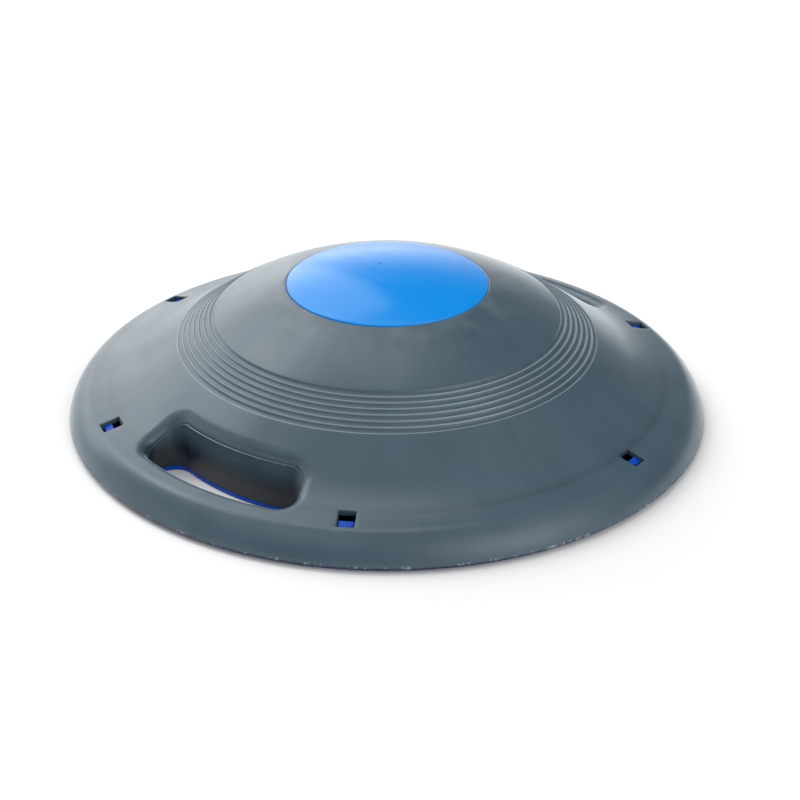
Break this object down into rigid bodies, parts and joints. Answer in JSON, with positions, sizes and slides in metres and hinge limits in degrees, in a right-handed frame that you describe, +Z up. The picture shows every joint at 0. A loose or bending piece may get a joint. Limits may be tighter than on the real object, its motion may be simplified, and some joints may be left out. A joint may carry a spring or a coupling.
{
  "type": "balance dome trainer",
  "caption": "Rocking dome with a flat standing deck, two curved hand slots through the brim, ring flutes and a round apex pad.",
  "frame": {"origin": "centre of the deck's flat standing face, which lies on the floor when the dome is up", "axes": "+Z up through the dome's apex, +X and -X through the middles of the two hand slots"},
  "size_m": [0.4988, 0.4988, 0.1176],
  "materials": {
    "dome_plastic": "satin moulded slate grey",
    "deck_plastic": "satin moulded blue",
    "pad_plastic": "semi-gloss moulded bright blue",
    "screw_steel": "zinc plated"
  },
  "bodies": {
    "root": {"dome_shell": "dome_plastic", "standing_deck": "deck_plastic", "apex_pad": "pad_plastic", "pad_screw_1": "screw_steel", "pad_screw_2": "screw_steel", "pad_screw_3": "screw_steel", "pad_screw_4": "screw_steel", "pad_screw_5": "screw_steel", "pad_screw_6": "screw_steel"}
  },
  "joints": []
}
